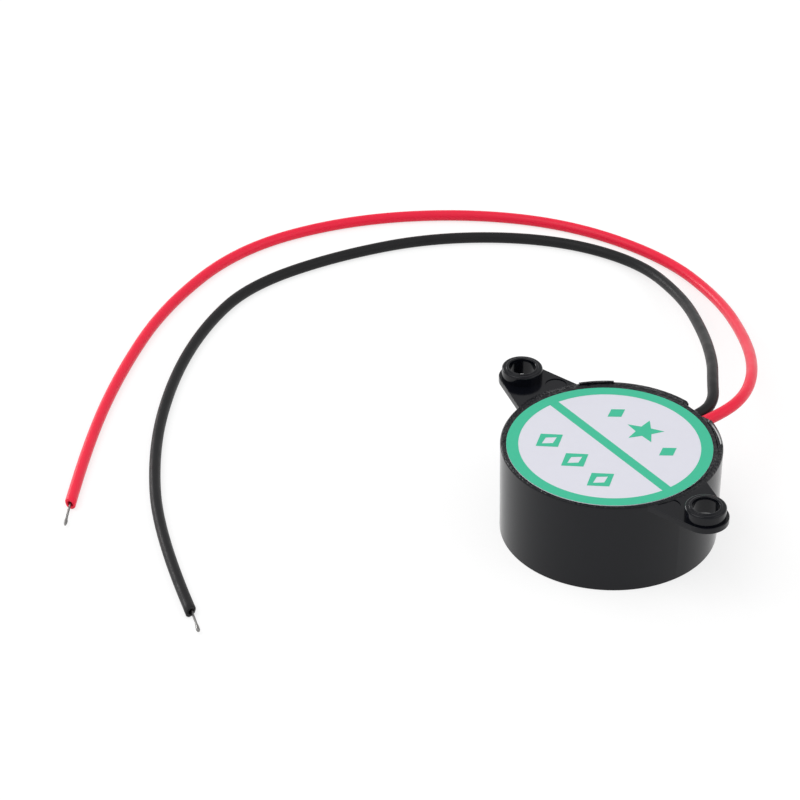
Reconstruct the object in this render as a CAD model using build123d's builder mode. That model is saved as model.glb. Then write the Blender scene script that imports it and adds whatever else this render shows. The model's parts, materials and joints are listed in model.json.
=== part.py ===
from build123d import *

import os
from math import cos, pi, radians, sin, tan

os.makedirs("parts", exist_ok=True)

# Driving dimensions in millimetres. The origin is the centre of the sound face, which
# lies on the ground. X runs along the two fixing ears and Y points out of the lead notch.

# Housing shell, with a ledge for the diaphragm and another for the circuit board
rim_radius = 15.0
rim_height = 13.7
wall_draft = 0.25
rim_round = 0.35
base_round = 0.12
rim_wall = 0.9
board_ledge = 0.3
diaphragm_ledge = 1.8
floor_thickness = 1.2
sound_chamber_height = 1.8
seal_depth = 2.2
seat_bevel = 0.2
sound_port_radius = 2.5
sound_port_bevel = 0.5

# Fixing ears and their bosses
hole_pitch = 40.0
hole_radius = 1.85
hole_bevel = 0.15
boss_wall = 0.95
boss_height = 1.5
boss_round = 0.3
ear_margin = 0.4
ear_root_width = 10.1
ear_root_inset = 1.1
ear_drop = 0.1
ear_thickness = 0.9
ear_edge_round = 0.12
mark_radius = 1.5
mark_depth = 0.12
mark_standoff = 0.6
mark_side_step = 2.5

# Raised land on the rim, and the notch that lets the leads out
land_start_angle = 141.0
land_sweep = 19.0
land_height = 0.3
notch_width = 4.8
notch_centre = 0.4
notch_bevel = 0.5

# Sounder element
seat_clearance = 0.05
diaphragm_clearance = 0.3
diaphragm_thickness = 0.25
adhesive_width = 1.0
adhesive_height = 0.8
ceramic_inset = 3.5
ceramic_thickness = 0.25
electrode_inset = 0.8
electrode_thickness = 0.1
tongue_width = 2.6
tongue_start = 3.6
tongue_gap = 0.4
tongue_angle = -45.0

# Circuit board, its pins and its solder joints
board_thickness = 1.2
board_hole_radius = 0.4
pin_radius = 0.25
joint_base_radius = 0.55
joint_top_radius = 0.3
joint_height = 0.6
joint_gap = 0.05

# Transistor
transistor_x = -5.5
transistor_y = 5.0
transistor_radius = 2.3
transistor_flat = 1.2
transistor_height = 4.6
transistor_standoff = 0.8
transistor_pin_pitch = 1.27

# Three-legged drum inductor
inductor_x = 4.8
inductor_y = 3.8
inductor_standoff = 0.3
inductor_clearance = 1.1
flange_radius = 3.6
flange_thickness = 0.8
core_radius = 1.5
winding_radius = 3.1
winding_gap = 0.05
inductor_pin_circle = 2.6
inductor_pin_count = 3
inductor_pin_start = 90.0

# Two axial resistors
resistor_x = -6.0
bias_resistor_y = 0.0
feedback_resistor_y = -3.5
resistor_span = 6.8
resistor_length = 3.6
resistor_cap_length = 0.9
resistor_cap_radius = 0.95
resistor_waist_radius = 0.8
resistor_standoff = 0.2
resistor_bend = 0.5

# Inner leads from the board down to the sounder element
inner_lead_radius = 0.3
inner_lead_bend = 0.7
inner_lead_drop = 2.0
inner_joint_base_radius = 0.7
inner_joint_top_radius = 0.35
inner_joint_height = 0.5
ground_hole = (-4.5, -9.3)
ground_foot_angle = -100.0
drive_hole = (1.6, -8.4)
drive_foot = (-0.6, -6.4)
feedback_hole = (8.0, -4.4)
feedback_foot_inset = 1.85

# Label, laid a little off centre so that its front edge rests on the rim
label_margin = 1.12
label_thickness = 0.1
label_x = 0.4
label_y = -0.66

# Supply leads
lead_radius = 0.8
lead_board_gap = 0.05
lead_tunnel_gap = 0.1
pad_joint_width = 1.3
pad_joint_length = 1.5
pad_joint_height = 1.2
pad_joint_round = 0.3
conductor_radius = 0.17
conductor_bead_radius = 0.25
conductor_bead_length = 2.0
conductor_point_radius = 0.08
red_conductor_length = 4.8
black_conductor_length = 4.3
arc_share = 0.45

# Radii that follow, from the rim inwards and from the screw holes outwards
base_radius = rim_radius - wall_draft
board_seat_radius = rim_radius - rim_wall
bore_radius = board_seat_radius - board_ledge
cavity_radius = bore_radius - diaphragm_ledge
board_radius = board_seat_radius - seat_clearance
diaphragm_radius = bore_radius - diaphragm_clearance
ceramic_radius = diaphragm_radius - ceramic_inset
electrode_radius = ceramic_radius - electrode_inset
bead_radius = bore_radius - seat_clearance
label_radius = rim_radius - label_margin
land_inner_radius = board_seat_radius + seat_bevel
land_outer_radius = rim_radius - rim_round
boss_radius = hole_radius + boss_wall
ear_tip_radius = boss_radius + ear_margin

# Heights that follow, from the sound face up and from the rim down
diaphragm_seat_height = floor_thickness + sound_chamber_height
diaphragm_top = diaphragm_seat_height + diaphragm_thickness
ceramic_top = diaphragm_top + ceramic_thickness
electrode_top = ceramic_top + electrode_thickness
board_top = rim_height - seal_depth
board_seat_height = board_top - board_thickness
ear_top_height = rim_height - ear_drop
ear_bottom_height = ear_top_height - ear_thickness
boss_top_height = ear_top_height + boss_height
lead_height = board_top + lead_board_gap + lead_radius

# Routes of the supply leads: out of the seal, through the notch, down to the ground
red_route = [
    Vector(1.65, 10.9, lead_height),
    Vector(1.65, 17.6, lead_height),
    Vector(-0.7, 24.0, 11.9),
    Vector(-7.2, 30.8, 10.1),
    Vector(-18.7, 39.0, 5.8),
    Vector(-33.1, 46.3, 2.0),
    Vector(-48.2, 48.2, lead_radius),
    Vector(-63.8, 42.2, lead_radius),
    Vector(-75.8, 30.4, lead_radius),
    Vector(-84.0, 14.5, lead_radius),
    Vector(-86.1, -2.8, lead_radius),
    Vector(-79.2, -20.0, lead_radius),
    Vector(-68.7, -34.3, lead_radius),
    Vector(-56.5, -47.5, lead_radius),
    Vector(-45.2, -57.9, lead_radius),
]
black_route = [
    Vector(0.0, 10.9, lead_height),
    Vector(0.0, 15.0, lead_height),
    Vector(-1.8, 18.8, 12.4),
    Vector(-5.3, 21.8, 12.1),
    Vector(-11.4, 26.8, 10.6),
    Vector(-22.0, 33.9, 7.0),
    Vector(-35.6, 41.3, 3.0),
    Vector(-49.5, 44.0, 1.0),
    Vector(-62.2, 37.4, lead_radius),
    Vector(-72.2, 23.8, lead_radius),
    Vector(-76.4, 8.3, lead_radius),
    Vector(-76.9, -6.7, lead_radius),
    Vector(-71.7, -18.0, lead_radius),
    Vector(-62.7, -29.6, lead_radius),
    Vector(-49.7, -41.3, lead_radius),
    Vector(-32.6, -51.7, lead_radius),
    Vector(-15.1, -57.9, lead_radius),
]
routes = [red_route, black_route]
lead_pitch = abs(red_route[0].X - black_route[0].X)
lead_slot_centre = (red_route[0].X + black_route[0].X) / 2
lead_slot_start = min(route[0].Y for route in routes)

# Places that more than one piece shares
ear_places = [(side * hole_pitch / 2, 0) for side in (-1, 1)]
mark_places = [(side * (rim_radius + mark_standoff), -side * mark_side_step) for side in (-1, 1)]
transistor_pins = [(transistor_x + step * transistor_pin_pitch, transistor_y) for step in (-1, 0, 1)]
inductor_pin_angles = [
    radians(inductor_pin_start + turn * 360 / inductor_pin_count) for turn in range(inductor_pin_count)
]
inductor_pins = [
    (inductor_x + inductor_pin_circle * cos(angle), inductor_y + inductor_pin_circle * sin(angle))
    for angle in inductor_pin_angles
]
resistor_pins = [
    (resistor_x + side * resistor_span / 2, y)
    for y in (bias_resistor_y, feedback_resistor_y)
    for side in (-1, 1)
]
ground_foot_radius = (ceramic_radius + bead_radius - adhesive_width) / 2
ground_foot = (
    ground_foot_radius * cos(radians(ground_foot_angle)),
    ground_foot_radius * sin(radians(ground_foot_angle)),
)
feedback_foot_radius = electrode_radius - feedback_foot_inset
feedback_foot = (
    feedback_foot_radius * cos(radians(tongue_angle)),
    feedback_foot_radius * sin(radians(tongue_angle)),
)
board_holes = transistor_pins + inductor_pins + resistor_pins + [ground_hole, drive_hole, feedback_hole]
pad_joint_places = [(route[0].X, route[0].Y - pad_joint_length / 2) for route in routes]


def save(name, builder):
    """Label a finished piece and write it to a file of its own."""
    builder.part.label = name
    export_step(builder.part, f"parts/{name}.step")


def make_resistor(y):
    """An axial resistor under the board, its two legs bent up through the board."""
    axis_height = board_seat_height - resistor_standoff - resistor_cap_radius
    end = resistor_length / 2
    shoulder = end - resistor_cap_length
    leg_places = [(resistor_x - resistor_span / 2, y), (resistor_x + resistor_span / 2, y)]
    with BuildPart() as resistor:
        with BuildLine() as legs:
            FilletPolyline(
                (*leg_places[0], board_top),
                (*leg_places[0], axis_height),
                (*leg_places[1], axis_height),
                (*leg_places[1], board_top),
                radius=resistor_bend,
            )
        with BuildSketch(Plane.XY.offset(board_top)):
            with Locations(leg_places[0]):
                Circle(pin_radius)
        sweep()
        with BuildSketch(Plane.XY.offset(axis_height).move(Location((resistor_x, y, 0)))):
            with BuildLine():
                Polyline(
                    (-end, 0),
                    (-end, resistor_cap_radius),
                    (-shoulder, resistor_cap_radius),
                    (-shoulder, resistor_waist_radius),
                    (shoulder, resistor_waist_radius),
                    (shoulder, resistor_cap_radius),
                    (end, resistor_cap_radius),
                    (end, 0),
                    close=True,
                )
            make_face()
        revolve(axis=Axis((resistor_x, y, axis_height), (1, 0, 0)))
    return resistor


def make_inner_lead(hole, foot, foot_height):
    """A thin lead from a hole in the board, over and down to a joint on the sounder."""
    with BuildPart() as lead:
        with BuildLine():
            FilletPolyline(
                (*hole, board_top),
                (*hole, board_seat_height - inner_lead_drop),
                (*foot, foot_height + inner_lead_drop),
                (*foot, foot_height),
                radius=inner_lead_bend,
            )
        with BuildSketch(Plane.XY.offset(board_top)):
            with Locations(hole):
                Circle(inner_lead_radius)
        sweep()
    return lead


def corner_radii(route):
    """The largest arc that fits each corner of a route."""
    radii = []
    for before, corner, after in zip(route, route[1:], route[2:]):
        run_in = corner - before
        run_out = after - corner
        half_turn = radians(run_in.get_angle(run_out) / 2)
        radii.append(arc_share * min(run_in.length, run_out.length) / tan(half_turn))
    return radii


def make_supply_lead(name, route):
    """An insulated lead: a round tube of straight runs joined by tangent arcs."""
    radii = corner_radii(route)
    with BuildPart() as lead:
        with BuildLine() as centre_line:
            FilletPolyline(*route, radius=radii)
        with BuildSketch(Plane(origin=route[0], z_dir=route[1] - route[0])):
            Circle(lead_radius)
        sweep()
    length = sum(edge.length for edge in centre_line.edges())
    print(name, "length", round(length, 1), "radii", [round(radius, 1) for radius in radii])
    print(name, "volume", round(lead.part.volume, 2), "section by length", round(pi * lead_radius**2 * length, 2))
    return lead


def make_conductor(route, length):
    """The bare tinned strands beyond the insulation, with a bead of solder at the end."""
    direction = (route[-1] - route[-2]).normalized()
    neck = length - conductor_bead_length
    with BuildPart() as conductor:
        with BuildSketch(Plane(origin=route[-1], x_dir=direction, z_dir=direction.cross(Vector(0, 0, 1)))):
            with BuildLine():
                Polyline(
                    (0, 0),
                    (0, conductor_radius),
                    (neck, conductor_radius),
                    (neck + conductor_bead_length / 2, conductor_bead_radius),
                    (length, conductor_point_radius),
                    (length, 0),
                    close=True,
                )
            make_face()
        revolve(axis=Axis(route[-1], direction))
    return conductor


# Housing: a drafted cup with two ears, moulded in one piece, sound face down
with BuildPart() as housing:
    for ear_x, ear_y in ear_places:
        root_x = (rim_radius - ear_root_inset) * ear_x / abs(ear_x)
        with BuildSketch(Plane.XY.offset(ear_bottom_height)):
            with BuildLine():
                CenterArc((ear_x, ear_y), ear_tip_radius, 0, 360)
                Line((root_x, -ear_root_width / 2), (root_x, ear_root_width / 2))
            make_hull()
        extrude(amount=ear_thickness)
    ear_outlines = housing.edges().group_by(Axis.Z)
    fillet(ear_outlines[0] + ear_outlines[-1], ear_edge_round)
    with BuildSketch(Plane.XY.offset(ear_top_height)):
        with Locations(mark_places):
            Circle(mark_radius)
    extrude(amount=-mark_depth, mode=Mode.SUBTRACT)
    with BuildSketch(Plane.XZ) as wall_section:
        with BuildLine():
            Polyline((0, 0), (base_radius, 0), (rim_radius, rim_height), (0, rim_height), close=True)
        make_face()
        fillet(wall_section.vertices().group_by(Axis.Y)[-1].sort_by(Axis.X)[-1], rim_round)
        fillet(wall_section.vertices().group_by(Axis.Y)[0].sort_by(Axis.X)[-1], base_round)
    revolve(axis=Axis.Z)
    with BuildSketch(Plane.XY.offset(rim_height)):
        with BuildLine():
            outer = CenterArc((0, 0), land_outer_radius, land_start_angle, land_sweep)
            inner = CenterArc((0, 0), land_inner_radius, land_start_angle, land_sweep)
            Line(outer @ 0, inner @ 0)
            Line(outer @ 1, inner @ 1)
        make_face()
    extrude(amount=land_height)
    with BuildSketch(Plane.XY.offset(ear_bottom_height)):
        with Locations(ear_places):
            Circle(boss_radius)
    extrude(amount=boss_top_height - ear_bottom_height)
    fillet(housing.edges().group_by(Axis.Z)[-1], boss_round)
    with BuildSketch(Plane.XZ):
        with BuildLine():
            Polyline(
                (0, 0),
                (sound_port_radius + sound_port_bevel, 0),
                (sound_port_radius, sound_port_bevel),
                (sound_port_radius, floor_thickness),
                (cavity_radius, floor_thickness),
                (cavity_radius, diaphragm_seat_height),
                (bore_radius, diaphragm_seat_height),
                (bore_radius, board_seat_height),
                (board_seat_radius, board_seat_height),
                (board_seat_radius, rim_height - seat_bevel),
                (board_seat_radius + seat_bevel, rim_height),
                (0, rim_height),
                close=True,
            )
        make_face()
    revolve(axis=Axis.Z, mode=Mode.SUBTRACT)
    with BuildSketch(Plane.XY.offset(ear_bottom_height)):
        with Locations(ear_places):
            Circle(hole_radius)
    extrude(amount=boss_top_height - ear_bottom_height, mode=Mode.SUBTRACT)
    hole_mouths = housing.edges().group_by(Axis.Z)[-1].sort_by(SortBy.RADIUS)[: len(ear_places)]
    chamfer(hole_mouths, hole_bevel)
    with BuildSketch(Plane.XZ):
        notch_side = notch_width / 2
        with BuildLine():
            Polyline(
                (notch_centre - notch_side, board_top),
                (notch_centre + notch_side, board_top),
                (notch_centre + notch_side, rim_height - notch_bevel),
                (notch_centre + notch_side + notch_bevel, rim_height),
                (notch_centre - notch_side - notch_bevel, rim_height),
                (notch_centre - notch_side, rim_height - notch_bevel),
                close=True,
            )
        make_face()
    extrude(amount=-rim_radius, mode=Mode.SUBTRACT)
save("housing", housing)

# Sounder element: brass diaphragm bonded at its edge, ceramic disc, two silver electrodes
with BuildPart() as diaphragm:
    with BuildSketch(Plane.XY.offset(diaphragm_seat_height)):
        Circle(diaphragm_radius)
    extrude(amount=diaphragm_thickness)
save("diaphragm", diaphragm)

with BuildPart() as diaphragm_adhesive:
    with BuildSketch(Plane.XZ):
        with BuildLine():
            Polyline(
                (bead_radius - adhesive_width, diaphragm_top),
                (bead_radius, diaphragm_top),
                (bead_radius, diaphragm_top + adhesive_height),
                close=True,
            )
        make_face()
    revolve(axis=Axis.Z)
save("diaphragm_adhesive", diaphragm_adhesive)

with BuildPart() as piezo_ceramic:
    with BuildSketch(Plane.XY.offset(diaphragm_top)):
        Circle(ceramic_radius)
    extrude(amount=ceramic_thickness)
save("piezo_ceramic", piezo_ceramic)

electrode_plane = Plane.XY.offset(ceramic_top).rotated((0, 0, tongue_angle))
with BuildPart() as main_electrode:
    with BuildSketch(electrode_plane):
        Circle(electrode_radius)
        with Locations((tongue_start - tongue_gap, 0)):
            Rectangle(
                2 * electrode_radius,
                tongue_width + 2 * tongue_gap,
                align=(Align.MIN, Align.CENTER),
                mode=Mode.SUBTRACT,
            )
    extrude(amount=electrode_thickness)
save("main_electrode", main_electrode)

with BuildPart() as feedback_electrode:
    with BuildSketch(electrode_plane):
        Circle(electrode_radius)
        with Locations((tongue_start, 0)):
            Rectangle(
                2 * electrode_radius,
                tongue_width,
                align=(Align.MIN, Align.CENTER),
                mode=Mode.INTERSECT,
            )
    extrude(amount=electrode_thickness)
save("feedback_electrode", feedback_electrode)

# Circuit board: seated near the back, its components hang below and are soldered on top
with BuildPart() as circuit_board:
    with BuildSketch(Plane.XY.offset(board_seat_height)):
        Circle(board_radius)
        with Locations(board_holes):
            Circle(board_hole_radius, mode=Mode.SUBTRACT)
    extrude(amount=board_thickness)
save("circuit_board", circuit_board)

with BuildPart() as board_joints:
    with Locations([(x, y, board_top) for x, y in board_holes]):
        Cone(
            joint_base_radius,
            joint_top_radius,
            joint_height,
            align=(Align.CENTER, Align.CENTER, Align.MIN),
        )
save("board_joints", board_joints)

with BuildPart() as lead_joints:
    with BuildSketch(Plane.XY.offset(board_top)):
        with Locations(pad_joint_places):
            Rectangle(pad_joint_width, pad_joint_length)
    extrude(amount=pad_joint_height)
    fillet(lead_joints.edges().group_by(Axis.Z)[-1], pad_joint_round)
save("lead_joints", lead_joints)

with BuildPart() as transistor:
    transistor_top = board_seat_height - transistor_standoff
    with BuildSketch(Plane.XY.offset(transistor_top)):
        with Locations((transistor_x, transistor_y)):
            Circle(transistor_radius)
        with Locations((transistor_x, transistor_y + transistor_flat)):
            Rectangle(
                2 * transistor_radius,
                2 * transistor_radius,
                align=(Align.CENTER, Align.MIN),
                mode=Mode.SUBTRACT,
            )
    extrude(amount=-transistor_height)
    with BuildSketch(Plane.XY.offset(transistor_top)):
        with Locations(transistor_pins):
            Circle(pin_radius)
    extrude(amount=board_top - transistor_top)
save("transistor", transistor)

inductor_top = board_seat_height - inductor_standoff
inductor_bottom = electrode_top + inductor_clearance
window_bottom = inductor_bottom + flange_thickness
window_top = inductor_top - flange_thickness
inductor_axis = Axis((inductor_x, inductor_y, 0), (0, 0, 1))
inductor_plane = Plane(origin=(inductor_x, inductor_y, 0), x_dir=(1, 0, 0), z_dir=(0, -1, 0))
with BuildPart() as inductor_core:
    with BuildSketch(inductor_plane):
        with BuildLine():
            Polyline(
                (0, inductor_bottom),
                (flange_radius, inductor_bottom),
                (flange_radius, window_bottom),
                (core_radius, window_bottom),
                (core_radius, window_top),
                (flange_radius, window_top),
                (flange_radius, inductor_top),
                (0, inductor_top),
                close=True,
            )
        make_face()
    revolve(axis=inductor_axis)
    with BuildSketch(Plane.XY.offset(inductor_top)):
        with Locations(inductor_pins):
            Circle(pin_radius)
    extrude(amount=board_top - inductor_top)
save("inductor_core", inductor_core)

with BuildPart() as inductor_winding:
    winding_middle = (window_bottom + window_top) / 2
    with BuildSketch(inductor_plane):
        with Locations((core_radius + winding_gap, winding_middle)):
            Rectangle(
                winding_radius - core_radius - winding_gap,
                window_top - window_bottom - 2 * winding_gap,
                align=(Align.MIN, Align.CENTER),
            )
    revolve(axis=inductor_axis)
save("inductor_winding", inductor_winding)

save("bias_resistor", make_resistor(bias_resistor_y))
save("feedback_resistor", make_resistor(feedback_resistor_y))

# Inner leads: the ground lead lands on the brass, the other two on the electrodes
brass_foot_height = diaphragm_top + inner_joint_height
electrode_foot_height = electrode_top + inner_joint_height
save("ground_lead", make_inner_lead(ground_hole, ground_foot, brass_foot_height))
save("drive_lead", make_inner_lead(drive_hole, drive_foot, electrode_foot_height))
save("feedback_lead", make_inner_lead(feedback_hole, feedback_foot, electrode_foot_height))

with BuildPart() as sounder_joints:
    with Locations((*ground_foot, diaphragm_top), (*drive_foot, electrode_top), (*feedback_foot, electrode_top)):
        Cone(
            inner_joint_base_radius,
            inner_joint_top_radius,
            inner_joint_height,
            align=(Align.CENTER, Align.CENTER, Align.MIN),
        )
save("sounder_joints", sounder_joints)

# Back seal: poured over the board, round its joints and round the two leads
with BuildPart() as back_seal:
    with BuildSketch(Plane.XY.offset(board_top)):
        Circle(board_radius)
    extrude(amount=rim_height - board_top)
    with BuildSketch(Plane.XY.offset(board_top)):
        with Locations(board_holes):
            Circle(joint_base_radius + joint_gap)
    extrude(amount=joint_height + joint_gap, mode=Mode.SUBTRACT)
    with BuildSketch(Plane.XY.offset(board_top)):
        with Locations(pad_joint_places):
            Rectangle(pad_joint_width + 2 * joint_gap, pad_joint_length + 2 * joint_gap)
    extrude(amount=pad_joint_height + joint_gap, mode=Mode.SUBTRACT)
    with BuildSketch(Plane.XZ.offset(-lead_slot_start)):
        with Locations((lead_slot_centre, lead_height)):
            SlotCenterToCenter(lead_pitch, 2 * (lead_radius + lead_tunnel_gap))
    extrude(amount=lead_slot_start - board_seat_radius, mode=Mode.SUBTRACT)
save("back_seal", back_seal)

with BuildPart() as label:
    with BuildSketch(Plane.XY.offset(rim_height)):
        with Locations((label_x, label_y)):
            Circle(label_radius)
    extrude(amount=label_thickness)
save("label", label)

# Supply leads with their bare ends
save("red_lead", make_supply_lead("red_lead", red_route))
save("black_lead", make_supply_lead("black_lead", black_route))
save("red_conductor", make_conductor(red_route, red_conductor_length))
save("black_conductor", make_conductor(black_route, black_conductor_length))
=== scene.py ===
import json
from math import cos, pi, radians, sin

import bmesh
import bpy
from mathutils import Matrix, Vector, noise


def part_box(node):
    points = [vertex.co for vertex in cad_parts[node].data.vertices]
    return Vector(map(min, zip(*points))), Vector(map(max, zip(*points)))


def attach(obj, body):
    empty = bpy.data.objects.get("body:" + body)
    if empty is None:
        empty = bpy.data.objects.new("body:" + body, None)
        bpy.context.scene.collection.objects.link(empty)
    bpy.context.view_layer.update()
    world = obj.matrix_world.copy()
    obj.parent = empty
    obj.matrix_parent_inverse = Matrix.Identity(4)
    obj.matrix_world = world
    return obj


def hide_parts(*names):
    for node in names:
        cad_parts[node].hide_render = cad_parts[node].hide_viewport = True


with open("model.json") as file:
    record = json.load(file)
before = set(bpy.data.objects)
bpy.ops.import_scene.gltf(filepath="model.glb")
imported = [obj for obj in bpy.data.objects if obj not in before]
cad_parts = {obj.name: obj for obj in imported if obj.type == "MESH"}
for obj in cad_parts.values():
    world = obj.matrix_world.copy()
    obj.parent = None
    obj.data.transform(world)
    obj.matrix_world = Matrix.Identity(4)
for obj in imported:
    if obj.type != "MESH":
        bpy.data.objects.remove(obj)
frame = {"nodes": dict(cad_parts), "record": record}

MM = 0.001

# Camera, fitted to the rim, the base and both bosses of the case in the photograph
CAMERA_PLACE = Vector((0.38505, -0.31570, 0.35632))
CAMERA_AZIMUTH = radians(53.93)
CAMERA_ELEVATION = radians(34.06)
CAMERA_ROLL = radians(0.72)
CAMERA_LENS = 202.5

# Stage and light: the floor's colour as seen and as it throws light back, its own glow, the sky's
# brightness, the height up to which the sky is whiter, and the point that every lamp faces
FLOOR_SIZE = 6.0
FLOOR_COLOR = (0.35, 0.35, 0.35, 1)
BOUNCE_COLOR = (0.85, 0.85, 0.85, 1)
FLOOR_GLOW = 0.72
SKY_FILL = 0.62
HORIZON_TOP = 0.5
LAMP_TARGET = Vector((0, 0, 0.01))

# Finishes: the range that a noise texture mostly keeps to, its detail, and how large a patch of roughness
# is beside a patch of colour
NOISE_LOW = 0.3
NOISE_HIGH = 0.7
COLOR_DETAIL = 4
FINE_DETAIL = 3
ROUGH_PATCH_SHARE = 0.6

# Meshes
SHARP_ANGLE = radians(35)
WOBBLE_CIRCLE = 2
RADIAL_WOBBLE_SHARE = 0.5

# Supply leads: centre lines in metres, from inside the seal to the last piece of the sleeve
LEAD_RADIUS = 0.0008
LEAD_SMOOTHNESS = 12
LEAD_START_HEIGHT = 0.01235
RED_ROUTE = [
    (0.00165, 0.0109, LEAD_START_HEIGHT),
    (0.00165, 0.0176, LEAD_START_HEIGHT),
    (-0.0007, 0.0240, 0.0119),
    (-0.0072, 0.0308, 0.0101),
    (-0.0187, 0.0390, 0.0058),
    (-0.0331, 0.0463, 0.0020),
    (-0.0482, 0.0482, LEAD_RADIUS),
    (-0.0638, 0.0422, LEAD_RADIUS),
    (-0.0758, 0.0304, LEAD_RADIUS),
    (-0.0840, 0.0145, LEAD_RADIUS),
    (-0.0861, -0.0028, LEAD_RADIUS),
    (-0.0792, -0.0200, LEAD_RADIUS),
    (-0.0687, -0.0343, LEAD_RADIUS),
    (-0.0565, -0.0475, LEAD_RADIUS),
    (-0.04575, -0.05715, LEAD_RADIUS),
]
BLACK_ROUTE = [
    (0.0000, 0.0109, LEAD_START_HEIGHT),
    (0.0000, 0.0160, LEAD_START_HEIGHT),
    (-0.0019, 0.0192, 0.0124),
    (-0.0053, 0.0218, 0.0121),
    (-0.0114, 0.0268, 0.0106),
    (-0.0220, 0.0339, 0.0070),
    (-0.0356, 0.0413, 0.0030),
    (-0.0495, 0.0440, 0.0010),
    (-0.0622, 0.0374, LEAD_RADIUS),
    (-0.0722, 0.0238, LEAD_RADIUS),
    (-0.0764, 0.0083, LEAD_RADIUS),
    (-0.0769, -0.0067, LEAD_RADIUS),
    (-0.0717, -0.0180, LEAD_RADIUS),
    (-0.0627, -0.0296, LEAD_RADIUS),
    (-0.0497, -0.0413, LEAD_RADIUS),
    (-0.0326, -0.0517, LEAD_RADIUS),
    (-0.01609, -0.05746, LEAD_RADIUS),
]

# Ends of the leads: the cut sleeve, the strands that come out of it and their bead of solder
RED_BARE_LENGTH = 5.0 * MM
BLACK_BARE_LENGTH = 4.45 * MM
SLEEVE_END_LENGTH = 0.9 * MM
SLEEVE_BORE_RADIUS = 0.4 * MM
STRAND_RADIUS = 0.058 * MM
STRAND_COUNT = 6
STRAND_SPACING = 1.94 * STRAND_RADIUS
STRAND_TWIST = 2 * pi / (3.2 * MM)
STRAND_LOOSENESS = 0.15
STRAND_START = -0.3 * MM
STRAND_OVERLAP = 0.8 * MM
BUNDLE_RADIUS = 0.17 * MM
SOLDER_RADIUS = 0.26 * MM
SOLDER_LENGTH = 2.0 * MM
SOLDER_SWELL_SHARE = 0.6
SOLDER_LUMPS = 0.12
SOLDER_TIP_RADIUS = 0.03 * MM

# Rim of the case, and the coarse texture on its top
RIM_BORE_RADIUS = 14.1 * MM
RIM_BEVEL = 0.2 * MM
NOTCH_CENTRE = 0.4 * MM
NOTCH_HALF_WIDTH = 2.4 * MM
RIM_TEXTURE_RADIUS = 15.15 * MM
RIM_TEXTURE_EDGE = 0.1 * MM
RIM_TEXTURE_LOW = 0.3 * MM
RIM_TEXTURE_HIGH = 0.03 * MM
RIM_GRAIN_SIZE = 0.45 * MM
RIM_GRAIN_RELIEF = 0.3 * MM

# Skin of the seal in the gap beside the label: its grid, its clearances, its waves and its heights
SKIN_STEPS_AROUND = 720
SKIN_STEPS_ACROSS = 12
SKIN_LABEL_GAP = 0.02 * MM
SKIN_BEVEL_GAP = 0.03 * MM
SKIN_NOTCH_GAP = 0.05 * MM
SKIN_NOTCH_MARGIN = 0.1 * MM
SKIN_LEAST_WIDTH = 0.06 * MM
SKIN_SPREAD = 0.9
SKIN_SPREAD_SWING = 0.7
SKIN_EDGE_CIRCLE = 15 * MM
SKIN_EDGE_WAVE = 0.9 * MM
SKIN_FINE_WAVE = 0.5 * MM
SKIN_BROAD_WAVE = 1.6 * MM
SKIN_BROAD_SHARE = 0.6
SKIN_HEIGHT = 0.05 * MM
SKIN_CLIMB = 0.04 * MM
SKIN_RELIEF = 0.075 * MM
SKIN_LEAST_HEIGHT = 0.004 * MM
SKIN_ROOT = 0.3 * MM

# Stretch of the rim, in degrees, where the skin stays low and off the bevel
CLEAN_ANGLE = 65
CLEAN_SPREAD = 22
CLEAN_FLATNESS = 0.8

# Bead of resin on the rim beside the notch, whose slope catches the edge lamp. Its section is in widths of
# that slope, as (distance outwards, height) points
RIM_BEAD_FIRST_ANGLE = 51
RIM_BEAD_LAST_ANGLE = 79
RIM_BEAD_STEPS = 60
RIM_BEAD_INNER_RADIUS = 14.28 * MM
RIM_BEAD_DRIFT = 0.36 * MM
RIM_BEAD_SLOPE_WIDTH = 0.13 * MM
RIM_BEAD_FIRST_STEEPNESS = 0.75
RIM_BEAD_LAST_STEEPNESS = 1.42
RIM_BEAD_FADE = 0.12
RIM_BEAD_SECTION = [(0, -0.1), (0, 0.01), (1, 1), (1.5, 1), (2.4, 0.02), (2.4, -0.1)]

# Collars of seal round the leads
COLLAR_START = 14.0 * MM
COLLAR_WOBBLE = 0.16 * MM

# Rounded lip at the inner edge of each boss
LIP_WIDTH = 0.4 * MM
LIP_HEIGHT = 0.1 * MM
LIP_ROOT = 0.4 * MM
LIP_OVERHANG = 0.01 * MM
LIP_STEPS = 8

# Print on the label
PRINT_THICKNESS = 0.02 * MM
PRINT_SINK = 0.01 * MM
RING_WIDTH = 1.62 * MM
RING_EDGE_GAP = 0.01 * MM
BAR_WIDTH = 1.4 * MM
BAR_OVERLAP = 1.02
BAR_DROP = 0.004 * MM
MARK_ROW_OFFSET = 5.9 * MM
MARK_PITCH = 5.6 * MM
DIAMOND_HEIGHT = 4.6 * MM
DIAMOND_WIDTH = 3.8 * MM
DIAMOND_HOLE_HEIGHT = 2.56 * MM
DIAMOND_HOLE_WIDTH = 1.59 * MM
SMALL_DIAMOND_HEIGHT = 3.0 * MM
SMALL_DIAMOND_WIDTH = 2.2 * MM
SMALL_DIAMOND_DROP = 0.4 * MM
STAR_POINTS = 5
STAR_RADIUS = 2.7 * MM
STAR_INNER_RADIUS = 1.15 * MM


def link(data, name):
    """A new object in the scene for that mesh, curve, lamp or camera."""
    made = bpy.data.objects.new(name, data)
    bpy.context.scene.collection.objects.link(made)
    return made


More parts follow.
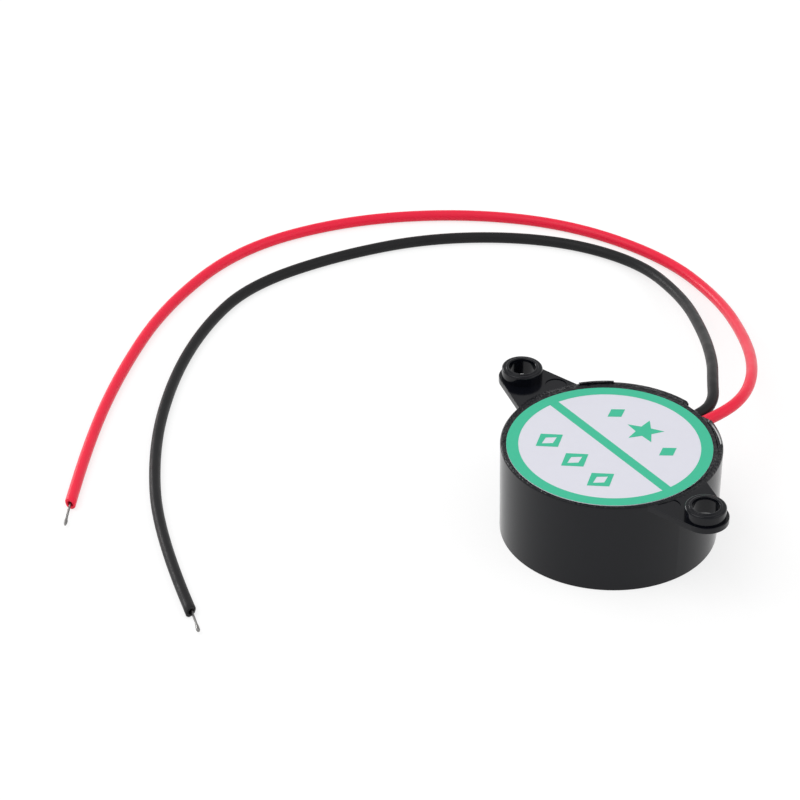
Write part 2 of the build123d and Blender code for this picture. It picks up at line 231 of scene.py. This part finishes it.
def make_material(
    name,
    color,
    roughness,
    metallic=0.0,
    ior=1.45,
    mottle=0.08,
    mottle_size=3.0,
    rough_swing=0.06,
    bump=0.0,
    bump_size=0.4,
):
    """A procedural finish: mottled colour, uneven roughness and a fine bump. Sizes are in millimetres."""
    made = bpy.data.materials.new(name)
    made.use_nodes = True
    nodes, links = made.node_tree.nodes, made.node_tree.links
    shader = nodes["Principled BSDF"]
    shader.inputs["Metallic"].default_value = metallic
    shader.inputs["IOR"].default_value = ior
    place = nodes.new("ShaderNodeTexCoord")

    def noise_at(size, detail):
        texture = nodes.new("ShaderNodeTexNoise")
        texture.inputs["Scale"].default_value = 1 / (size * MM)
        texture.inputs["Detail"].default_value = detail
        links.new(place.outputs["Object"], texture.inputs["Vector"])
        return texture.outputs["Fac"]

    blend = nodes.new("ShaderNodeMix")
    blend.data_type = "RGBA"
    blend.inputs["A"].default_value = (*(c * (1 - mottle) for c in color), 1)
    blend.inputs["B"].default_value = (*(min(1, c * (1 + mottle)) for c in color), 1)
    links.new(noise_at(mottle_size, COLOR_DETAIL), blend.inputs["Factor"])
    links.new(blend.outputs["Result"], shader.inputs["Base Color"])
    spread = nodes.new("ShaderNodeMapRange")
    spread.inputs["From Min"].default_value = NOISE_LOW
    spread.inputs["From Max"].default_value = NOISE_HIGH
    spread.inputs["To Min"].default_value = roughness - rough_swing
    spread.inputs["To Max"].default_value = roughness + rough_swing
    links.new(noise_at(mottle_size * ROUGH_PATCH_SHARE, FINE_DETAIL), spread.inputs["Value"])
    links.new(spread.outputs["Result"], shader.inputs["Roughness"])
    if bump:
        relief = nodes.new("ShaderNodeBump")
        relief.inputs["Strength"].default_value = 1.0
        relief.inputs["Distance"].default_value = bump * MM
        links.new(noise_at(bump_size, FINE_DETAIL), relief.inputs["Height"])
        links.new(relief.outputs["Normal"], shader.inputs["Normal"])
    return made


def add_rim_relief(material, height):
    """A coarse relief on the top of the rim alone, where seal and tool marks roughen it."""
    nodes, links = material.node_tree.nodes, material.node_tree.links
    shader = nodes["Principled BSDF"]
    smooth_normal = shader.inputs["Normal"].links[0].from_socket
    place = nodes.new("ShaderNodeTexCoord")
    split = nodes.new("ShaderNodeSeparateXYZ")
    links.new(place.outputs["Object"], split.inputs[0])
    flat = nodes.new("ShaderNodeVectorMath")
    flat.operation = "MULTIPLY"
    flat.inputs[1].default_value = (1, 1, 0)
    links.new(place.outputs["Object"], flat.inputs[0])
    reach = nodes.new("ShaderNodeVectorMath")
    reach.operation = "LENGTH"
    links.new(flat.outputs["Vector"], reach.inputs[0])
    high_enough = nodes.new("ShaderNodeMapRange")
    high_enough.inputs["From Min"].default_value = height - RIM_TEXTURE_LOW
    high_enough.inputs["From Max"].default_value = height - RIM_TEXTURE_HIGH
    links.new(split.outputs["Z"], high_enough.inputs["Value"])
    near_enough = nodes.new("ShaderNodeMapRange")
    near_enough.inputs["From Min"].default_value = RIM_TEXTURE_RADIUS
    near_enough.inputs["From Max"].default_value = RIM_TEXTURE_RADIUS - RIM_TEXTURE_EDGE
    links.new(reach.outputs["Value"], near_enough.inputs["Value"])
    both = nodes.new("ShaderNodeMath")
    both.operation = "MULTIPLY"
    links.new(high_enough.outputs["Result"], both.inputs[0])
    links.new(near_enough.outputs["Result"], both.inputs[1])
    grain = nodes.new("ShaderNodeTexNoise")
    grain.inputs["Scale"].default_value = 1 / RIM_GRAIN_SIZE
    grain.inputs["Detail"].default_value = FINE_DETAIL
    links.new(place.outputs["Object"], grain.inputs["Vector"])
    relief = nodes.new("ShaderNodeBump")
    relief.inputs["Distance"].default_value = RIM_GRAIN_RELIEF
    links.new(both.outputs[0], relief.inputs["Strength"])
    links.new(grain.outputs["Fac"], relief.inputs["Height"])
    links.new(smooth_normal, relief.inputs["Normal"])
    links.new(relief.outputs["Normal"], shader.inputs["Normal"])


def seen_directly(nodes, links):
    """A value of 1 for camera, glossy and transmission rays, and 0 for the light that falls on things."""
    rays = nodes.new("ShaderNodeLightPath")
    total = rays.outputs["Is Camera Ray"]
    for kind in ("Is Glossy Ray", "Is Transmission Ray"):
        either = nodes.new("ShaderNodeMath")
        either.operation = "MAXIMUM"
        links.new(total, either.inputs[0])
        links.new(rays.outputs[kind], either.inputs[1])
        total = either.outputs[0]
    return total


def make_stage():
    """A white floor that keeps the object's shadow, under an even white sky."""
    floor_mesh = bpy.data.meshes.new("floor")
    half = FLOOR_SIZE / 2
    corners = [(-half, -half, 0), (half, -half, 0), (half, half, 0), (-half, half, 0)]
    floor_mesh.from_pydata(corners, [], [(0, 1, 2, 3)])
    floor = link(floor_mesh, "floor")
    paper = bpy.data.materials.new("floor_paper")
    paper.use_nodes = True
    nodes, links = paper.node_tree.nodes, paper.node_tree.links
    shader = nodes["Principled BSDF"]
    tone = nodes.new("ShaderNodeMix")
    tone.data_type = "RGBA"
    tone.inputs["A"].default_value = BOUNCE_COLOR
    tone.inputs["B"].default_value = FLOOR_COLOR
    links.new(seen_directly(nodes, links), tone.inputs["Factor"])
    links.new(tone.outputs["Result"], shader.inputs["Base Color"])
    shader.inputs["Roughness"].default_value = 1.0
    shader.inputs["Specular IOR Level"].default_value = 0.0
    shader.inputs["Emission Color"].default_value = (1, 1, 1, 1)
    glow = nodes.new("ShaderNodeMath")
    glow.operation = "MULTIPLY"
    glow.inputs[1].default_value = FLOOR_GLOW
    links.new(seen_directly(nodes, links), glow.inputs[0])
    links.new(glow.outputs[0], shader.inputs["Emission Strength"])
    floor_mesh.materials.append(paper)

    world = bpy.data.worlds.new("white_sky")
    bpy.context.scene.world = world
    world.use_nodes = True
    nodes, links = world.node_tree.nodes, world.node_tree.links
    direction = nodes.new("ShaderNodeTexCoord")
    split = nodes.new("ShaderNodeSeparateXYZ")
    links.new(direction.outputs["Generated"], split.inputs[0])
    horizon = nodes.new("ShaderNodeMapRange")
    horizon.inputs["From Min"].default_value = HORIZON_TOP
    horizon.inputs["From Max"].default_value = 0.0
    links.new(split.outputs["Z"], horizon.inputs["Value"])
    white = nodes.new("ShaderNodeMath")
    white.operation = "MULTIPLY"
    links.new(seen_directly(nodes, links), white.inputs[0])
    links.new(horizon.outputs["Result"], white.inputs[1])
    strength = nodes.new("ShaderNodeMapRange")
    strength.inputs["To Min"].default_value = SKY_FILL
    strength.inputs["To Max"].default_value = 1.0
    links.new(white.outputs[0], strength.inputs["Value"])
    nodes["Background"].inputs["Color"].default_value = (1, 1, 1, 1)
    links.new(strength.outputs["Result"], nodes["Background"].inputs["Strength"])


def make_softbox(name, azimuth, elevation, distance, width, height, power):
    """A soft lamp that faces the object. Azimuth 0 stands on the -Y side, as for the camera."""
    lamp = bpy.data.lights.new(name, "AREA")
    lamp.shape = "RECTANGLE"
    lamp.size = width
    lamp.size_y = height
    lamp.energy = power
    box = link(lamp, name)
    a, e = radians(azimuth), radians(elevation)
    away = Vector((sin(a) * cos(e), -cos(a) * cos(e), sin(e)))
    box.location = LAMP_TARGET + away * distance
    box.rotation_euler = away.to_track_quat("Z", "Y").to_euler()


def make_camera():
    """The photograph's own view."""
    data = bpy.data.cameras.new("camera")
    data.lens = CAMERA_LENS
    data.sensor_width = 36.0
    data.clip_start = 0.01
    data.clip_end = 20.0
    camera = link(data, "camera")
    turn = (
        Matrix.Rotation(CAMERA_AZIMUTH, 4, "Z")
        @ Matrix.Rotation(pi / 2 - CAMERA_ELEVATION, 4, "X")
        @ Matrix.Rotation(CAMERA_ROLL, 4, "Z")
    )
    camera.matrix_world = Matrix.Translation(CAMERA_PLACE) @ turn
    bpy.context.scene.camera = camera


def make_lead(name, node, route, finish):
    """A supply lead on one smooth curve through its route."""
    curve = bpy.data.curves.new(name, "CURVE")
    curve.dimensions = "3D"
    spline = curve.splines.new("NURBS")
    spline.points.add(len(route) - 1)
    for point, place in zip(spline.points, route):
        point.co = (*place, 1)
    spline.order_u = 3
    spline.use_endpoint_u = True
    spline.resolution_u = LEAD_SMOOTHNESS
    curve.bevel_depth = LEAD_RADIUS
    curve.bevel_resolution = LEAD_SMOOTHNESS
    curve.use_fill_caps = True
    curve.materials.append(finish)
    lead = link(curve, name)
    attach(lead, "root")
    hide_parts(node)
    return lead


def mesh_piece(name, bm, finish, smooth=True):
    """A mesh object from that bmesh, riding on the case."""
    bmesh.ops.recalc_face_normals(bm, faces=bm.faces)
    mesh = bpy.data.meshes.new(name)
    bm.to_mesh(mesh)
    bm.free()
    mesh.polygons.foreach_set("use_smooth", [smooth] * len(mesh.polygons))
    if smooth:
        mesh.set_sharp_from_angle(angle=SHARP_ANGLE)
    mesh.materials.append(finish)
    piece = link(mesh, name)
    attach(piece, "root")
    return piece


def bridge(bm, first, second):
    """Faces between two closed rows of as many points."""
    for i in range(len(first)):
        j = (i + 1) % len(first)
        bm.faces.new((first[i], first[j], second[j], second[i]))


def add_tube(bm, points, radii, around=12):
    """A closed round tube along those points, with its own radius at each."""
    rings = []
    side = None
    for i, place in enumerate(points):
        ahead = (points[min(i + 1, len(points) - 1)] - points[max(i - 1, 0)]).normalized()
        if side is None:
            side = ahead.orthogonal().normalized()
        side = (side - ahead * side.dot(ahead)).normalized()
        up = ahead.cross(side)
        ring = []
        for k in range(around):
            angle = 2 * pi * k / around
            ring.append(bm.verts.new(place + (side * cos(angle) + up * sin(angle)) * radii[i]))
        rings.append(ring)
    for low, high in zip(rings, rings[1:]):
        bridge(bm, low, high)
    bm.faces.new(reversed(rings[0]))
    bm.faces.new(rings[-1])


def add_lathe(bm, profile, origin, axis, around=64, wobble=0.0, seed=0.0, slant=Vector((0, 0, 0))):
    """A closed ring turned from (distance along the axis, radius, share of the slanted cut) rows."""
    side = axis.orthogonal().normalized()
    up = axis.cross(side)
    rings = []
    for k in range(around):
        angle = 2 * pi * k / around
        x, y = cos(angle), sin(angle)
        out = side * x + up * y
        ring = []
        for along, radius, cut in profile:
            spot = Vector((x * WOBBLE_CIRCLE, y * WOBBLE_CIRCLE, seed + along / MM))
            shake = noise.noise(spot) * wobble
            lean = out.dot(slant) * radius * cut
            reach = radius + shake * RADIAL_WOBBLE_SHARE
            ring.append(bm.verts.new(origin + axis * (along + lean + shake * cut) + out * reach))
        rings.append(ring)
    for k in range(around):
        bridge(bm, rings[k], rings[(k + 1) % around])


def ease(t):
    """A smooth step from 0 to 1."""
    t = max(0.0, min(1.0, t))
    return t * t * (3 - 2 * t)


def make_sleeve_end(name, end, ahead, slant, finish, seed):
    """The last piece of a lead's sleeve, with its slanted cut."""
    cut = SLEEVE_END_LENGTH
    bore = SLEEVE_BORE_RADIUS
    outside = LEAD_RADIUS * 1.003
    hidden = -0.1 * MM
    profile = [
        (hidden, outside, 0.0),
        (cut - 0.16 * MM, outside, 1.0),
        (cut - 0.04 * MM, LEAD_RADIUS * 0.95, 1.0),
        (cut, LEAD_RADIUS * 0.86, 1.0),
        (cut - 0.03 * MM, bore * 1.45, 1.0),
        (cut + 0.02 * MM, bore * 1.2, 1.0),
        (cut - 0.05 * MM, bore, 1.0),
        (hidden, bore, 0.0),
    ]
    bm = bmesh.new()
    add_lathe(bm, profile, end, ahead, wobble=0.05 * MM, seed=seed, slant=slant)
    return mesh_piece(name + "_sleeve_end", bm, finish)


def make_bare_end(name, node, route, length, slant, start_shift, tip_shift, blunt, insulation, tin, seed):
    """The cut end of the sleeve, and the tinned strands that come out of it, with their bead of solder."""
    end = Vector(route[-1])
    ahead = (end - Vector(route[-2])).normalized()
    sideways = ahead.cross(Vector((0, 0, 1))).normalized()
    up = sideways.cross(ahead)
    sleeve_end = make_sleeve_end(name, end, ahead, sideways * slant, insulation, seed)

    full = SLEEVE_END_LENGTH + length
    solder_start = full - SOLDER_LENGTH

    def axis_at(along):
        share = along / full
        shift = start_shift + (tip_shift - start_shift) * share * share
        return end + ahead * along + sideways * shift

    bm = bmesh.new()
    steps = 48
    for strand in range(STRAND_COUNT + 1):
        phase = 2 * pi * strand / STRAND_COUNT
        offset = 0.0 if strand == STRAND_COUNT else STRAND_SPACING
        points = []
        for i in range(steps + 1):
            along = STRAND_START + (solder_start + STRAND_OVERLAP) * i / steps
            angle = phase + STRAND_TWIST * along
            loose = 1 + STRAND_LOOSENESS * noise.noise(Vector((strand * 3.1 + seed, along / MM, 0)))
            points.append(axis_at(along) + (sideways * cos(angle) + up * sin(angle)) * offset * loose)
        add_tube(bm, points, [STRAND_RADIUS] * len(points), around=10)
    points, radii = [], []
    steps = 40
    for i in range(steps + 1):
        share = i / steps
        points.append(axis_at(solder_start + share * SOLDER_LENGTH))
        swell = BUNDLE_RADIUS + (SOLDER_RADIUS - BUNDLE_RADIUS) * ease(share / SOLDER_SWELL_SHARE)
        tail = max(0.0, (share - blunt) / (1 - blunt))
        lump = 1 + SOLDER_LUMPS * noise.noise(Vector((share * 5, seed, 1)))
        radii.append(max(SOLDER_TIP_RADIUS, swell * (1 - tail * tail) ** 0.5 * lump))
    add_tube(bm, points, radii, around=20)
    strands = mesh_piece(name + "_strands", bm, tin)
    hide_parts(node)
    return sleeve_end, strands


def uneven(x, y, size):
    """Two octaves of noise at a place on the rim, for features of about that size."""
    place = Vector((x / size, y / size, 0))
    return noise.noise(place) + 0.5 * noise.noise(place * 2.7)


def skin_span(x, y, clean, label_centre, label_radius):
    """The inner and the outer radius of the seal's skin in the direction (x, y) from the case's centre."""
    centre_x, centre_y = label_centre
    along = x * centre_x + y * centre_y
    inner = along + (label_radius**2 - centre_x**2 - centre_y**2 + along**2) ** 0.5 + SKIN_LABEL_GAP
    if y > 0 and abs(x * RIM_BORE_RADIUS - NOTCH_CENTRE) < NOTCH_HALF_WIDTH + SKIN_NOTCH_MARGIN:
        return inner, RIM_BORE_RADIUS - SKIN_NOTCH_GAP
    wave = uneven(x * SKIN_EDGE_CIRCLE, y * SKIN_EDGE_CIRCLE, SKIN_EDGE_WAVE)
    outer = RIM_BORE_RADIUS + RIM_BEVEL * (SKIN_SPREAD + SKIN_SPREAD_SWING * wave)
    outer += (RIM_BORE_RADIUS - SKIN_BEVEL_GAP - outer) * ease(clean * 2.5)
    return inner, outer


def make_seal_edge(finish):
    """The seal's uneven skin in the gap beside the label, which runs a little way over the rim."""
    label_low, label_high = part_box("label")
    label_centre = ((label_low.x + label_high.x) / 2, (label_low.y + label_high.y) / 2)
    label_radius = (label_high.x - label_low.x) / 2
    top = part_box("back_seal")[1].z
    bm = bmesh.new()
    rows = []
    for k in range(SKIN_STEPS_AROUND):
        turn = k * 360 / SKIN_STEPS_AROUND
        x, y = cos(radians(turn)), sin(radians(turn))
        clean = ease(1 - abs(turn - CLEAN_ANGLE) / CLEAN_SPREAD)
        inner, outer = skin_span(x, y, clean, label_centre, label_radius)
        if outer - inner < SKIN_LEAST_WIDTH:
            rows.append(None)
            continue
        low = 1 - CLEAN_FLATNESS * ease(clean * 2)
        row = []
        for i in range(SKIN_STEPS_ACROSS + 1):
            share = i / SKIN_STEPS_ACROSS
            radius = inner + (outer - inner) * share
            broad = uneven(x * radius, y * radius, SKIN_BROAD_WAVE)
            bump = uneven(x * radius, y * radius, SKIN_FINE_WAVE) + SKIN_BROAD_SHARE * broad
            climb = SKIN_HEIGHT + SKIN_CLIMB * ease((share - 0.5) / 0.4)
            lift = (climb + SKIN_RELIEF * bump) * ease((1 - share) / 0.15) * low
            row.append(bm.verts.new((x * radius, y * radius, top + max(SKIN_LEAST_HEIGHT, lift))))
        row.append(bm.verts.new((x * outer, y * outer, top - SKIN_ROOT)))
        row.append(bm.verts.new((x * inner, y * inner, top - SKIN_ROOT)))
        rows.append(row)
    for row, following in zip(rows, rows[1:] + rows[:1]):
        if row and following:
            bridge(bm, row, following)
    skin = mesh_piece("seal_edge", bm, finish)


def make_rim_bead(finish):
    """A smooth bead of resin on the inner edge of the rim, to the right of the notch."""
    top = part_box("back_seal")[1].z
    bm = bmesh.new()
    rows = []
    for k in range(RIM_BEAD_STEPS + 1):
        share = k / RIM_BEAD_STEPS
        angle = radians(RIM_BEAD_FIRST_ANGLE + (RIM_BEAD_LAST_ANGLE - RIM_BEAD_FIRST_ANGLE) * share)
        x, y = cos(angle), sin(angle)
        fade = ease(min(share, 1 - share) / RIM_BEAD_FADE)
        start = RIM_BEAD_INNER_RADIUS + RIM_BEAD_DRIFT * (1 - share)
        steepness = RIM_BEAD_FIRST_STEEPNESS + (RIM_BEAD_LAST_STEEPNESS - RIM_BEAD_FIRST_STEEPNESS) * share
        row = []
        for along, height in RIM_BEAD_SECTION:
            radius = start + along * RIM_BEAD_SLOPE_WIDTH
            lift = height * RIM_BEAD_SLOPE_WIDTH * (fade * steepness if height > 0 else 1)
            row.append(bm.verts.new((x * radius, y * radius, top + lift)))
        rows.append(row)
    for row, following in zip(rows, rows[1:]):
        bridge(bm, row, following)
    bm.faces.new(rows[0])
    bm.faces.new(list(reversed(rows[-1])))
    bead = mesh_piece("rim_bead", bm, finish)


def make_boss_lips(finish):
    """The rounded lip at the inner edge of each boss, where its hole opens."""
    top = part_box("housing")[1].z
    bm = bmesh.new()
    for mount in frame["record"]["mounts"]:
        if mount["kind"] != "bore":
            continue
        x, y, _ = mount["pos_m"]
        hole_radius = mount["dims"]["r_mm"] * MM
        profile = [(-LIP_ROOT, hole_radius - LIP_OVERHANG, 0.0)]
        for k in range(LIP_STEPS + 1):
            angle = pi * k / LIP_STEPS
            profile.append((LIP_HEIGHT * sin(angle), hole_radius + LIP_WIDTH / 2 * (1 - cos(angle)), 0.0))
        profile.append((-LIP_ROOT, hole_radius + LIP_WIDTH, 0.0))
        add_lathe(bm, profile, Vector((x, y, top)), Vector((0, 0, 1)), around=96)
    lips = mesh_piece("boss_lips", bm, finish)


def make_lead_collars(finish):
    """The small collars of seal that climb the two leads where they leave it."""
    bm = bmesh.new()
    profile = [
        (0, 1.3 * MM, 0.0),
        (0.15 * MM, 1.12 * MM, 1.0),
        (0.4 * MM, 0.93 * MM, 1.0),
        (0.7 * MM, 0.82 * MM, 1.0),
        (0.72 * MM, 0.78 * MM, 1.0),
        (0, 0.78 * MM, 0.0),
    ]
    for route in (RED_ROUTE, BLACK_ROUTE):
        origin = Vector((route[0][0], COLLAR_START, LEAD_START_HEIGHT))
        add_lathe(bm, profile, origin, Vector((0, 1, 0)), wobble=COLLAR_WOBBLE, seed=len(route))
    collars = mesh_piece("seal_collars", bm, finish)


def slab(bm, outline, bottom, top):
    """A flat closed plate between two heights, from one closed outline."""
    low = [bm.verts.new((x, y, bottom)) for x, y in outline]
    high = [bm.verts.new((x, y, top)) for x, y in outline]
    bm.faces.new(high)
    bm.faces.new(list(reversed(low)))
    bridge(bm, low, high)


def ring_slab(bm, inner, outer, bottom, top):
    """A flat closed plate between two heights and two matching outlines."""
    inner_low = [bm.verts.new((x, y, bottom)) for x, y in inner]
    inner_high = [bm.verts.new((x, y, top)) for x, y in inner]
    outer_low = [bm.verts.new((x, y, bottom)) for x, y in outer]
    outer_high = [bm.verts.new((x, y, top)) for x, y in outer]
    bridge(bm, inner_high, outer_high)
    bridge(bm, inner_low, outer_low)
    bridge(bm, inner_low, inner_high)
    bridge(bm, outer_low, outer_high)


def circle(centre, radius, count=192):
    """The outline of a circle."""
    angles = [2 * pi * k / count for k in range(count)]
    return [(centre[0] + radius * cos(angle), centre[1] + radius * sin(angle)) for angle in angles]


def rectangle(centre, width, height):
    """The outline of a rectangle."""
    x, y = centre
    corners = ((-1, -1), (1, -1), (1, 1), (-1, 1))
    return [(x + across * width / 2, y + along * height / 2) for across, along in corners]


def diamond(centre, width, height):
    """The outline of a diamond that stands on its point."""
    x, y = centre
    return [(x + width / 2, y), (x, y + height / 2), (x - width / 2, y), (x, y - height / 2)]


def star(centre):
    """The outline of a star with one point towards -Y."""
    x, y = centre
    outline = []
    for k in range(2 * STAR_POINTS):
        reach = STAR_INNER_RADIUS if k % 2 else STAR_RADIUS
        angle = pi * (k / STAR_POINTS - 0.5)
        outline.append((x + reach * cos(angle), y + reach * sin(angle)))
    return outline


def make_print(finish):
    """The green ring and bar of the label, with a star and diamonds, as thin layers of ink."""
    low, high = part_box("label")
    x, y = (low.x + high.x) / 2, (low.y + high.y) / 2
    radius = (high.x - low.x) / 2
    inner = radius - RING_WIDTH
    bottom = high.z - PRINT_SINK
    top = high.z + PRINT_THICKNESS
    ring, bar, diamonds, stars = (bmesh.new() for _ in range(4))

    ring_slab(ring, circle((x, y), inner), circle((x, y), radius - RING_EDGE_GAP), bottom, top)
    slab(bar, rectangle((x, y), 2 * inner * BAR_OVERLAP, BAR_WIDTH), bottom, top - BAR_DROP)
    for step in (-1, 0, 1):
        place = (x + step * MARK_PITCH, y - MARK_ROW_OFFSET)
        hole = diamond(place, DIAMOND_HOLE_WIDTH, DIAMOND_HOLE_HEIGHT)
        ring_slab(diamonds, hole, diamond(place, DIAMOND_WIDTH, DIAMOND_HEIGHT), bottom, top)
    row_y = y + MARK_ROW_OFFSET
    slab(stars, star((x, row_y)), bottom, top)
    for side in (-1, 1):
        place = (x + side * MARK_PITCH, row_y - SMALL_DIAMOND_DROP)
        slab(stars, diamond(place, SMALL_DIAMOND_WIDTH, SMALL_DIAMOND_HEIGHT), bottom, top)

    pieces = {"print_ring": ring, "print_bar": bar, "print_diamonds": diamonds, "print_star": stars}
    for name, bm in pieces.items():
        mesh_piece(name, bm, finish, smooth=False)


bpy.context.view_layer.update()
bpy.context.scene.view_settings.view_transform = "Standard"

make_camera()
make_stage()
make_softbox("key_softbox", azimuth=-20, elevation=60, distance=0.6, width=0.45, height=0.45, power=1.1)
make_softbox("fill_softbox", azimuth=130, elevation=40, distance=0.7, width=0.5, height=0.5, power=0.6)
make_softbox("edge_softbox", azimuth=-78, elevation=13, distance=1.5, width=0.7, height=0.3, power=5.0)

finishes = {
    "housing": make_material(
        "housing_plastic",
        (0.003, 0.0035, 0.006),
        0.14,
        ior=1.34,
        mottle=0.2,
        rough_swing=0.03,
        bump=0.0015,
        bump_size=0.5,
    ),
    "brass": make_material("brass_sheet", (0.72, 0.55, 0.26), 0.3, metallic=1.0, bump=0.002, bump_size=0.2),
    "adhesive": make_material("silicone_bead", (0.82, 0.82, 0.78), 0.5, bump=0.02, bump_size=0.8),
    "ceramic": make_material("sintered_ceramic", (0.62, 0.58, 0.48), 0.6, bump=0.003, bump_size=0.1),
    "silver": make_material(
        "fired_silver", (0.78, 0.77, 0.74), 0.42, metallic=1.0, bump=0.004, bump_size=0.15
    ),
    "circuit_board": make_material("phenolic_board", (0.45, 0.31, 0.14), 0.5, mottle=0.15, mottle_size=1.0),
    "solder": make_material("bright_solder", (0.66, 0.66, 0.67), 0.25, metallic=1.0, bump=0.01),
    "component_body": make_material("moulded_epoxy", (0.03, 0.03, 0.03), 0.5, bump=0.004, bump_size=0.1),
    "ferrite": make_material("sintered_ferrite", (0.08, 0.08, 0.085), 0.55, bump=0.005, bump_size=0.1),
    "copper": make_material(
        "enamelled_copper", (0.6, 0.26, 0.1), 0.28, metallic=1.0, bump=0.01, bump_size=0.15
    ),
    "resistor_body": make_material("resistor_lacquer", (0.68, 0.52, 0.3), 0.3, bump=0.004, bump_size=0.3),
    "seal": make_material(
        "cast_seal", (0.005, 0.0055, 0.008), 0.17, ior=1.38, mottle=0.2, bump=0.14, bump_size=0.45
    ),
    "label": make_material(
        "label_film", (0.77, 0.77, 0.85), 0.45, mottle=0.015, mottle_size=1.2, bump=0.004, bump_size=1.5
    ),
    "red_insulation": make_material(
        "red_sleeve", (0.95, 0.017, 0.058), 0.34, ior=1.33, mottle=0.05, bump=0.006, bump_size=0.8
    ),
    "black_insulation": make_material(
        "black_sleeve", (0.019, 0.019, 0.02), 0.42, ior=1.22, mottle=0.15, bump=0.006, bump_size=0.8
    ),
    "blue_insulation": make_material("blue_sleeve", (0.06, 0.14, 0.5), 0.35, bump=0.006, bump_size=0.8),
    "tinned_strands": make_material(
        "tinned_copper",
        (0.26, 0.255, 0.25),
        0.38,
        metallic=1.0,
        mottle=0.12,
        mottle_size=0.4,
        bump=0.006,
        bump_size=0.2,
    ),
}
ink = make_material(
    "label_ink", (0.04, 0.54, 0.325), 0.4, mottle=0.03, mottle_size=0.8, bump=0.003, bump_size=0.6
)
resin = make_material("smooth_resin", (0.006, 0.0065, 0.009), 0.13, mottle=0.2, rough_swing=0.03)

add_rim_relief(finishes["housing"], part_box("back_seal")[1].z)

for row in frame["record"]["subparts"]:
    node = frame["nodes"][row["node"]]
    node.data.materials.clear()
    node.data.materials.append(finishes[row["material_slot"]])

bare_ends = {
    "red": {
        "length": RED_BARE_LENGTH,
        "slant": -0.5,
        "start_shift": 0.0,
        "tip_shift": -0.15 * MM,
        "blunt": 0.5,
    },
    "black": {
        "length": BLACK_BARE_LENGTH,
        "slant": 0.55,
        "start_shift": -0.12 * MM,
        "tip_shift": 0.1 * MM,
        "blunt": 0.8,
    },
}
for name, route in (("red", RED_ROUTE), ("black", BLACK_ROUTE)):
    slot = name + "_insulation"
    lead = make_lead(name + "_wire", name + "_lead", route, finishes[slot])
    sleeve_end, strands = make_bare_end(
        name,
        name + "_conductor",
        route,
        insulation=finishes[slot],
        tin=finishes["tinned_strands"],
        seed=len(route),
        **bare_ends[name],
    )

make_seal_edge(finishes["seal"])
make_rim_bead(resin)
make_boss_lips(finishes["housing"])
make_lead_collars(finishes["seal"])
make_print(ink)
